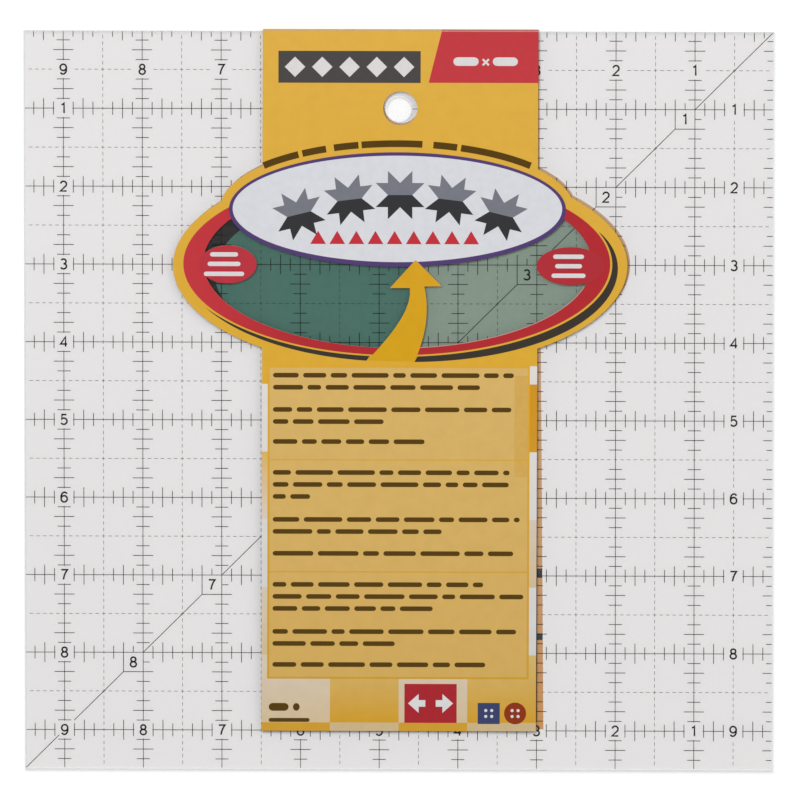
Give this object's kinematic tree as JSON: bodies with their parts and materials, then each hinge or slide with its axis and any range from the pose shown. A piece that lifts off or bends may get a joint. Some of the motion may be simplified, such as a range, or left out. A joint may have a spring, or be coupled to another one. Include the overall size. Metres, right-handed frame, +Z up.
{
  "type": "quilting ruler",
  "caption": "Square frosted acrylic quilting ruler with a printed inch grid, in its folded header card.",
  "frame": {"origin": "bottom centre of the whole object, which lies flat on its card's back panel with the grid facing up", "axes": "+X towards the ruler's right edge, +Y towards its top edge, where the card is folded over, +Z up out of the reading side"},
  "size_m": [0.2414, 0.2418, 0.0045],
  "materials": {
    "acrylic": "clear, polished",
    "frosting": "frosted, non-slip",
    "grid_ink": "matte screen print",
    "card_print": "printed, lightly coated",
    "card_inside": "printed, lightly coated"
  },
  "bodies": {
    "ruler": {"ruler_plate": "acrylic", "frosted_coat": "frosting", "grid_print": "grid_ink"},
    "fold": {"card_spine": "card_print"},
    "front_panel": {"card_front_panel": "card_print"},
    "back_panel": {"card_back_panel": "card_inside"}
  },
  "joints": [
    {"name": "card_slide", "type": "slide", "parent": "ruler", "child": "fold", "axis": [0, 1, 0], "range_m": [0, 0.235]},
    {"name": "front_crease", "type": "hinge", "parent": "fold", "child": "front_panel", "pos_m": [0.00064, 0.12087, 0.00436], "axis": [-1, 0, 0], "range_deg": [0, 180]},
    {"name": "back_crease", "type": "hinge", "parent": "fold", "child": "back_panel", "pos_m": [0.00064, 0.12087, 0.00017], "axis": [1, 0, 0], "range_deg": [0, 180]}
  ]
}
